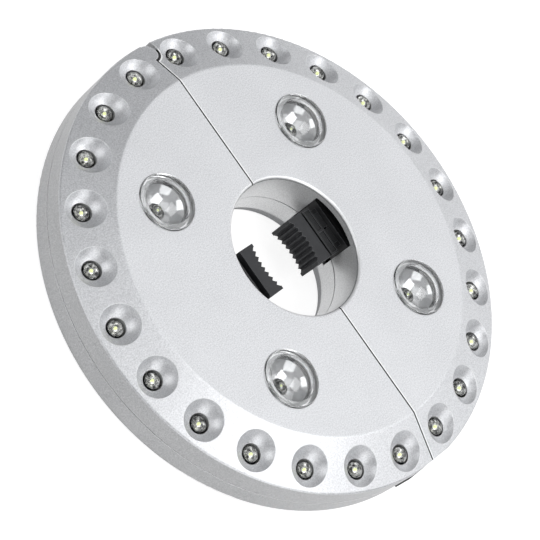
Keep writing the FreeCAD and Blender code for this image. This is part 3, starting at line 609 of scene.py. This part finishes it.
# %% [markdown]
# A modifier's inputs are set by identifier before the object is first evaluated. The evaluated result
# is copied to a plain mesh, the modifier goes, and the piece then rides on its half of the case.

# %% Copies as one plain piece
def grown(name, tree, mesh, values):
    """An object whose mesh is what a tree makes with the given inputs."""
    holder = bpy.data.objects.new(name, mesh)
    bpy.context.scene.collection.objects.link(holder)
    change = holder.modifiers.new("tree", "NODES")
    change.node_group = tree
    for item in tree.interface.items_tree:
        if item.in_out == "INPUT" and item.name in values:
            change[item.identifier] = values[item.name]
    seen = holder.evaluated_get(bpy.context.evaluated_depsgraph_get())
    result = bpy.data.meshes.new_from_object(seen)
    holder.modifiers.clear()
    holder.data = result
    for face in result.polygons:
        face.use_smooth = True
    return holder


def on_circle(name, mesh, values, body):
    piece = grown(name, RING_TREE, mesh, values)
    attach(piece, body)
    return len(piece.data.polygons)


print("copies become plain pieces")

# %% [markdown]
# A domed lens is centred over its lamp, so the middle of its box gives the circle of the four domed lamps.
# The small lamps of one half share a box, and its two ends along X will do: one is at the lamps next to the
# seam, the other at the lamps furthest from it. In their sum a lamp's own width cancels out, and what is
# left is the radius times a sine and a cosine of half a step.

# %% Where the lamps stand
RING_COUNT = 12
DOME_COUNT = 2


def ring_radius(node, count):
    """The radius of the circle on which one half's lamps stand, from the ends of their box."""
    low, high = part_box(node)
    half_step = math.pi / count / 2
    return -(low.x + high.x) / (math.sin(half_step) + math.cos(half_step))


def middle_radius(node):
    """How far the middle of a solid's box is from the pole's axis."""
    low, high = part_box(node)
    return math.hypot((low.x + high.x) / 2, (low.y + high.y) / 2)


RING_RADIUS = ring_radius("ring_lamps_left", RING_COUNT)
DOME_RADIUS = middle_radius("lens_left_hinge_side")
print("ring of 24 lamps at", round(RING_RADIUS / MM, 1), "mm, domes at", round(DOME_RADIUS / MM, 1))

# %% [markdown]
# Inside a clear lamp sit a wide metal cup, a bright pad with a dot of yellow phosphor on it, and two
# leads that carry the cup. In the photograph the dot is the bright yellow-green point of each lamp, and
# the cup is the grey round it, with a thin dark ring where the lamp ends. The lamps are not lit, so the
# dot's faint glow is painted light.

# %% What a cup, a pad and a dot look like
CUP_DEPTH = 1.9
CUP_FLOOR = 0.95
PAD_TOP = 0.42


def cup_profile(z):
    """A wide cup with a step inside, whose rim is at height z, in millimetres."""
    return [(0, z - CUP_DEPTH), (1.5, z - CUP_DEPTH), (2.6, z - 0.8), (2.85, z), (2.7, z + 0.02),
            (2.35, z - 0.55), (1.75, z - 0.62), (1.3, z - CUP_FLOOR), (0, z - CUP_FLOOR)]


def pad_profile(z):
    """The bright pad in the middle of the cup."""
    return [(0, z - CUP_FLOOR), (0.95, z - CUP_FLOOR), (0.95, z - 0.5), (0.85, z - PAD_TOP),
            (0, z - PAD_TOP)]


def dot_profile(z):
    """The drop of phosphor on the pad."""
    return [(0, z - PAD_TOP), (0.58, z - PAD_TOP), (0.6, z - 0.3), (0.4, z - 0.22), (0, z - 0.2)]


def thinner(profile, width):
    """The same profile with every radius multiplied."""
    return [(radius * width, z) for radius, z in profile]


print("cups", CUP_DEPTH, "mm deep")

# %% Leads under the cups
LEAD_WIDE = 0.55
LEAD_DEEP = 0.7
LEAD_SPREAD = 0.75
LEAD_ROUNDING = 0.06
LEAD_BITE = 0.1


def lead_mesh(name, foot, z):
    """Two square leads, from the foot of a lamp to just inside the underside of its cup."""
    builder = bmesh.new()
    height = z - CUP_DEPTH + LEAD_BITE - foot
    for side in (-1, 1):
        made = bmesh.ops.create_cube(builder, size=1.0)["verts"]
        bmesh.ops.scale(builder, verts=made, vec=(LEAD_WIDE * MM, LEAD_DEEP * MM, height * MM))
        bmesh.ops.translate(builder, verts=made, vec=(side * LEAD_SPREAD * MM, 0, (foot + height / 2) * MM))
    bmesh.ops.bevel(builder, geom=list(builder.edges), offset=LEAD_ROUNDING * MM, segments=1, affect="EDGES")
    mesh = bpy.data.meshes.new(name)
    builder.to_mesh(mesh)
    builder.free()
    return mesh


print("leads", LEAD_WIDE, "by", LEAD_DEEP, "mm")

# %% Insides of the lamps
FOOT_GAP = 0.05


def fill_lamps(side, kind, count, radius, depth, width):
    """What one half's lamps of a kind hold, with the cups' rim a depth in millimetres under their tips."""
    low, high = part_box(kind + "_lamps_" + side)
    foot = low.z / MM + FOOT_GAP
    rim = high.z / MM - depth
    step = math.pi / count
    first = step / 2 + (-math.pi / 2 if side == "right" else math.pi / 2)
    body = side + "_half"
    shapes = {
        "cups": (turned_mesh("cup", thinner(cup_profile(rim), width)), cup_metal, "contact_metal"),
        "pads": (turned_mesh("pad", thinner(pad_profile(rim), width), 12), plated, "contact_metal"),
        "dots": (turned_mesh("dot", thinner(dot_profile(rim), width), 12), phosphor_painted_glow, "clear_lamp"),
        "leads": (lead_mesh("lead", foot, rim), plated, "contact_metal"),
    }
    for part, (mesh, finish, slot) in shapes.items():
        values = {"Count": count, "Radius": radius, "First Angle": first, "Step Angle": step,
                  "Material": finish}
        faces = on_circle(kind + "_lamp_" + part + "_" + side, mesh, values, body)
        print(kind, "lamp", part, side, faces, "faces")


LAMP_ROWS = [
    {"kind": "ring", "count": RING_COUNT, "radius": RING_RADIUS, "depth": 2.0, "width": 1.0},
    {"kind": "dome", "count": DOME_COUNT, "radius": DOME_RADIUS, "depth": 0.5, "width": 0.82},
]
for side in SIDES:
    for row in LAMP_ROWS:
        fill_lamps(side, **row)

# %% [markdown]
# Behind each jaw a steel spring is squeezed when a pole pushes the jaw back. The imported spring keeps its
# rest shape, so a coil of the same size takes its place here. A spiral curve with a round section makes it,
# and its inputs come from the imported spring's own box.

# %% A tree that winds a wire
STEPS_PER_TURN = 32
WIRE_SIDES = 12


def coil_tree():
    tree, start, end = open_tree("wound_wire", (
        ("Turns", "Float"), ("Radius", "Float"), ("Length", "Float"), ("Wire", "Float"),
        ("Start", "Vector"), ("Material", "Material")))
    add, link = tree.nodes.new, tree.links.new
    spiral = add("GeometryNodeCurveSpiral")
    section = add("GeometryNodeCurvePrimitiveCircle")
    tube = add("GeometryNodeCurveToMesh")
    spiral.inputs["Resolution"].default_value = STEPS_PER_TURN
    section.inputs["Resolution"].default_value = WIRE_SIDES
    for name, socket in (("Turns", "Rotations"), ("Radius", "Start Radius"), ("Radius", "End Radius"),
                         ("Length", "Height")):
        link(start.outputs[name], spiral.inputs[socket])
    link(start.outputs["Wire"], section.inputs["Radius"])
    link(spiral.outputs[0], tube.inputs["Curve"])
    link(section.outputs[0], tube.inputs["Profile Curve"])
    tube.inputs["Fill Caps"].default_value = True
    lay = add("GeometryNodeTransform")
    lay.inputs["Rotation"].default_value = (0.0, math.pi / 2, 0.0)
    link(tube.outputs[0], lay.inputs["Geometry"])
    link(start.outputs["Start"], lay.inputs["Translation"])
    close_tree(tree, start, end, lay)
    return tree


COIL_TREE = coil_tree()
print("tree with", len(COIL_TREE.nodes), "nodes")

# %% [markdown]
# The coil rides on its half of the case, and `hide_parts` takes the imported spring out of the picture.

# %% Jaw springs
WIRE = 0.4 * MM
TURNS = 6.0


def jaw_spring(side):
    low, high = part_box("jaw_spring_" + side)
    length = high.x - low.x
    values = {
        "Turns": TURNS, "Radius": (high.z - low.z) / 2 - WIRE, "Length": length - 2 * WIRE, "Wire": WIRE,
        "Start": (low.x + WIRE, (low.y + high.y) / 2, (low.z + high.z) / 2), "Material": steel}
    spring = grown("jaw_coil_" + side, COIL_TREE, bpy.data.meshes.new("wire"), values)
    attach(spring, side + "_half")
    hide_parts("jaw_spring_" + side)
    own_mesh(spring)
    print(side, "jaw spring", round(length / MM, 1), "mm long,", len(spring.data.polygons), "faces")


for side in SIDES:
    jaw_spring(side)

# %% [markdown]
# The floor is a large pale disc. The camera, and the metal and glass of the light, see it white and with
# the light's shadow, while for soft light it is a plain grey, so that it doesn't flood the rim from below.
# Seen from below it is clear, so that the back of the light can be looked at, and light that starts
# within a few millimetres of it passes, so that the back isn't black.

# %% Floor
FLOOR_SEEN = (0.38, 0.38, 0.38)
FLOOR_GLOW = 0.84
FLOOR_GREY = (0.40, 0.40, 0.40)
LIGHT_PASSES = 7 * MM


def floor_material():
    made = bpy.data.materials.new("floor_white")
    made.use_nodes = True
    made.node_tree.nodes.clear()
    start = Wire(made.node_tree)
    shown = start.node("ShaderNodeBsdfPrincipled", {}, {
        "Base Color": FLOOR_SEEN, "Roughness": 1.0, "Specular IOR Level": 0.0,
        "Emission Color": (1.0, 1.0, 1.0), "Emission Strength": FLOOR_GLOW})
    grey = start.node("ShaderNodeBsdfPrincipled", {}, {
        "Base Color": FLOOR_GREY, "Roughness": 1.0, "Specular IOR Level": 0.0})
    ways = [start.node("ShaderNodeLightPath", {}, {}, "Is " + kind + " Ray")
            for kind in ("Camera", "Glossy", "Transmission")]
    seen = (ways[0] + ways[1] + ways[2]).capped()
    paint = start.node("ShaderNodeMixShader", {}, {0: seen, 1: grey, 2: shown})
    behind = start.node("ShaderNodeNewGeometry", {}, {}, "Backfacing")
    near = 1.0 - (start.node("ShaderNodeLightPath", {}, {}, "Ray Length") > LIGHT_PASSES)
    clear = (behind + near * (1.0 - ways[0])).capped()
    empty = start.node("ShaderNodeBsdfTransparent")
    shader = start.node("ShaderNodeMixShader", {}, {0: clear, 1: paint, 2: empty})
    start.node("ShaderNodeOutputMaterial", {}, {"Surface": shader})
    return made


def make_floor(radius=4.0, drop=0.4 * MM):
    builder = bmesh.new()
    bmesh.ops.create_circle(builder, cap_ends=True, segments=64, radius=radius)
    mesh = bpy.data.meshes.new("floor")
    builder.to_mesh(mesh)
    builder.free()
    mesh.transform(Matrix.Translation((0, 0, -drop)))
    mesh.materials.append(floor_material())
    floor = bpy.data.objects.new("floor", mesh)
    bpy.context.scene.collection.objects.link(floor)
    return floor


print("floor normal has height", make_floor().data.polygons[0].normal.z)

# %% [markdown]
# Three soft boxes were read from the square reflections in the bowls behind the domed lenses: one nearly
# overhead towards the latch, and one each side of the camera. Three weaker ones hang beyond the light and
# above it: the flat plateau mirrors them, and the dark gap beside them shades the ring towards the hinge.
# The world adds an even grey.

# %% Studio light
def soft_box(name, azimuth, elevation, distance, width, height, radiance):
    """A rectangular lamp that faces the light, given by direction in degrees and its brightness."""
    data = bpy.data.lights.new(name, "AREA")
    data.shape = "RECTANGLE"
    data.size = width
    data.size_y = height
    data.energy = radiance * math.pi * width * height
    lamp = bpy.data.objects.new(name, data)
    a, e = math.radians(azimuth), math.radians(elevation)
    way = Vector((math.cos(a) * math.cos(e), math.sin(a) * math.cos(e), math.sin(e)))
    turn = way.to_track_quat("Z", "Y").to_matrix().to_4x4()
    lamp.matrix_world = Matrix.Translation(way * distance) @ turn
    lamp.visible_camera = False
    bpy.context.scene.collection.objects.link(lamp)
    print(name, "at", azimuth, elevation, "brightness", radiance)


SOFT_BOXES = [
    ("overhead_box", -68, 64, 1.3, 0.85, 0.68, 3.5),
    ("camera_right_box", -127, 31, 1.3, 0.89, 1.1, 1.9),
    ("camera_left_box", 141, 29, 1.3, 0.80, 0.72, 2.4),
    ("far_fill", -12, 32, 1.9, 2.6, 1.6, 0.98),
    ("top_fill", 20, 66, 1.7, 1.1, 0.9, 0.72),
    ("zenith_fill", 130, 82, 1.7, 0.9, 0.9, 0.95),
]
WORLD_GREY = (0.24, 0.243, 0.25, 1.0)
for row in SOFT_BOXES:
    soft_box(*row)

world = bpy.data.worlds.new("studio")
world.use_nodes = True
world.node_tree.nodes["Background"].inputs["Color"].default_value = WORLD_GREY
bpy.context.scene.world = world
bpy.context.scene.view_settings.view_transform = "Standard"
print("world and view set")
